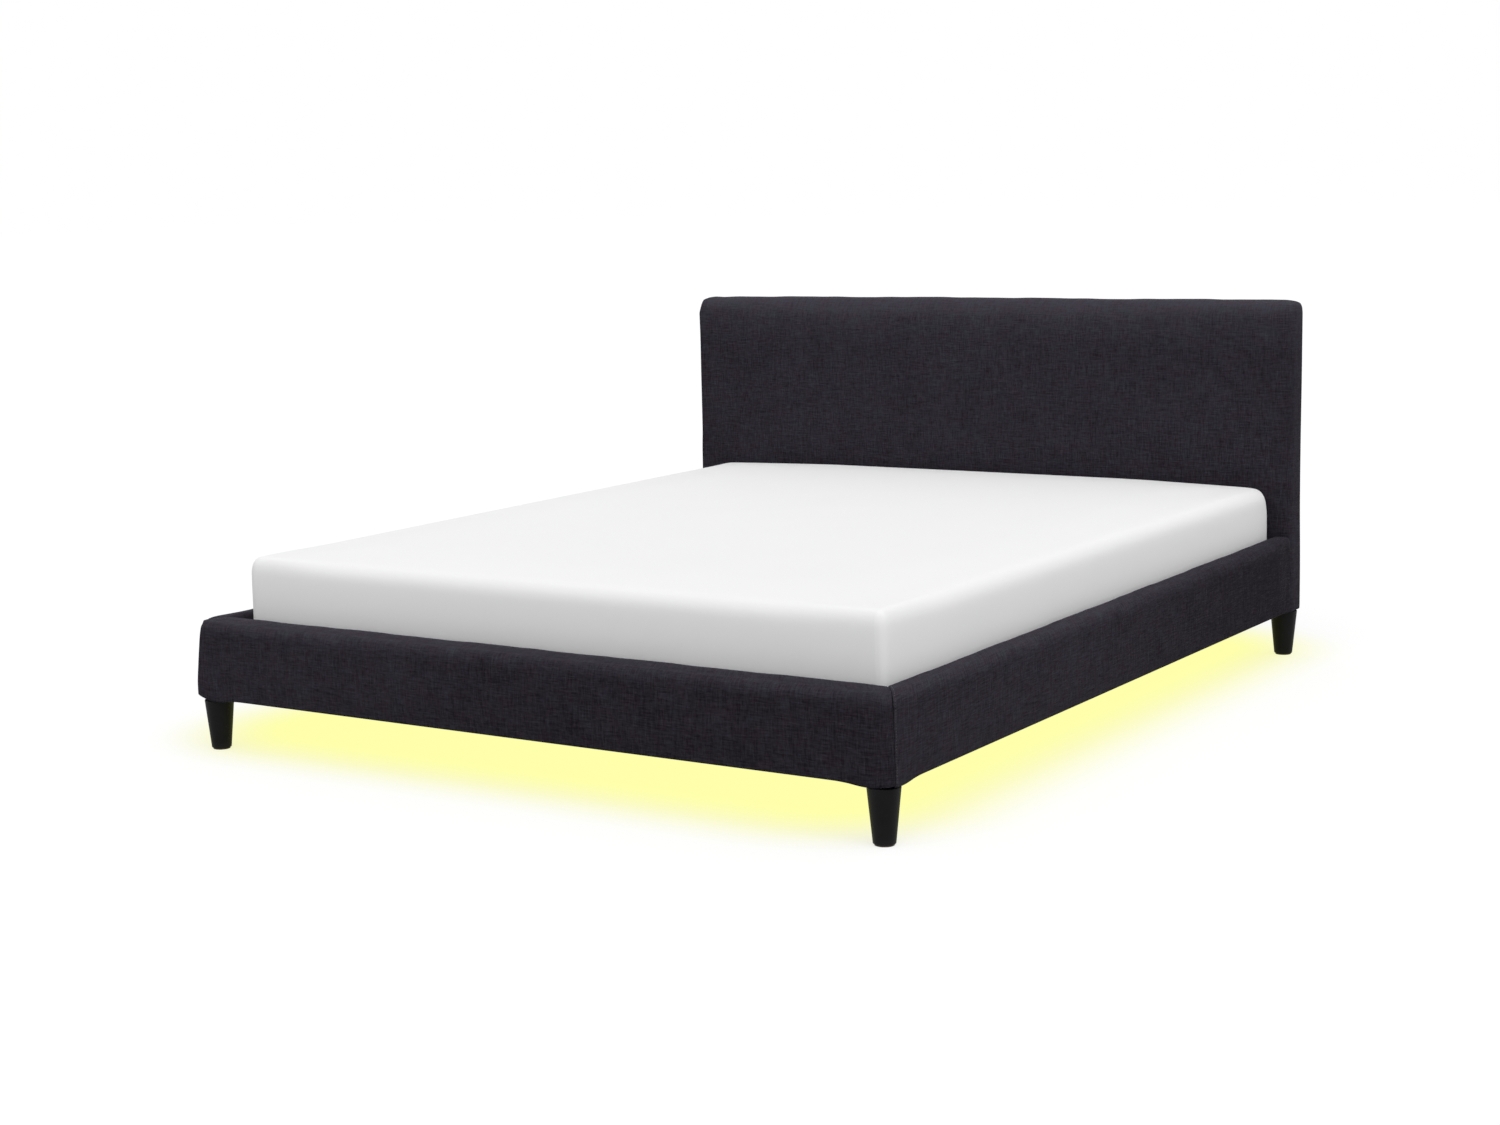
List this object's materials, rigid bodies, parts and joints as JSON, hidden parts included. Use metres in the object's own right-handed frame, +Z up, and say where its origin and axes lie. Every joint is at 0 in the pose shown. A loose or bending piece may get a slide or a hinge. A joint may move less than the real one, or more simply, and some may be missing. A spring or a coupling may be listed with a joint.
{
  "type": "upholstered double bed",
  "caption": "Low upholstered double bed with a padded panel headboard, padded rails, short tapered legs, a plain mattress and a light strip under the rails.",
  "frame": {"origin": "on the floor, under the middle of the bed", "axes": "+Y towards the headboard, +X to the right seen from the foot, +Z up"},
  "size_m": [1.76, 2.16, 0.9],
  "materials": {
    "bed_fabric": "matte",
    "mattress_fabric": "matte",
    "mattress_foam": "matte",
    "foam": "matte",
    "dust_cloth": "matte",
    "felt": "matte",
    "board": "matte",
    "timber": "matte",
    "slat_wood": "satin",
    "leg_black": "matte",
    "plated_steel": "satin",
    "frame_steel": "satin",
    "foot_steel": "satin",
    "light_strip": "satin",
    "controller_plastic": "matte",
    "button_plastic": "gloss",
    "inlet_plastic": "satin"
  },
  "bodies": {
    "frame": {"beam_hanger_back": "frame_steel", "beam_hanger_front": "frame_steel", "bracket_back_left": "frame_steel", "bracket_back_right": "frame_steel", "bracket_bolts_long": "plated_steel", "bracket_bolts_short": "plated_steel", "bracket_front_left": "frame_steel", "bracket_front_right": "frame_steel", "centre_beam": "frame_steel", "controller_case": "controller_plastic", "footboard_board": "board", "footboard_cover": "bed_fabric", "footboard_foam": "foam", "frame_screws": "plated_steel", "headboard_back_cloth": "dust_cloth", "headboard_cover": "bed_fabric", "headboard_foam": "foam", "headboard_panel": "board", "headboard_post_left": "timber", "headboard_post_right": "timber", "headboard_top_batten": "timber", "ledge_left": "timber", "ledge_right": "timber", "leg_back_left": "leg_black", "leg_back_right": "leg_black", "leg_front_left": "leg_black", "leg_front_right": "leg_black", "leg_glides": "felt", "leg_studs": "plated_steel", "light_strip_foot": "light_strip", "light_strip_left": "light_strip", "light_strip_right": "light_strip", "power_inlet": "inlet_plastic", "rail_left_board": "board", "rail_left_cover": "bed_fabric", "rail_left_foam": "foam", "rail_right_board": "board", "rail_right_cover": "bed_fabric", "rail_right_foam": "foam", "slat_01": "slat_wood", "slat_02": "slat_wood", "slat_03": "slat_wood", "slat_04": "slat_wood", "slat_05": "slat_wood", "slat_06": "slat_wood", "slat_07": "slat_wood", "slat_08": "slat_wood", "slat_09": "slat_wood", "slat_10": "slat_wood", "slat_11": "slat_wood", "slat_screws": "plated_steel", "support_leg_back": "frame_steel", "support_leg_bolts": "plated_steel", "support_leg_front": "frame_steel"},
    "mattress": {"mattress_cover": "mattress_fabric", "mattress_core": "mattress_foam"},
    "button": {"controller_button": "button_plastic"},
    "front_levelling_foot": {"levelling_foot_front": "foot_steel"},
    "back_levelling_foot": {"levelling_foot_back": "foot_steel"}
  },
  "joints": [
    {"name": "mattress_lift", "type": "slide", "parent": "frame", "child": "mattress", "axis": [0, 0, 1], "range_m": [0, 0.7]},
    {"name": "button_press", "type": "slide", "parent": "frame", "child": "button", "axis": [0, 0, 1], "range_m": [0, 0.0012], "stiffness_N_per_m": 600, "springref_m": -0.001},
    {"name": "front_foot_level", "type": "slide", "parent": "frame", "child": "front_levelling_foot", "axis": [0, 0, 1], "range_m": [0, 0.015]},
    {"name": "back_foot_level", "type": "slide", "parent": "frame", "child": "back_levelling_foot", "axis": [0, 0, 1], "range_m": [0, 0.015]}
  ]
}
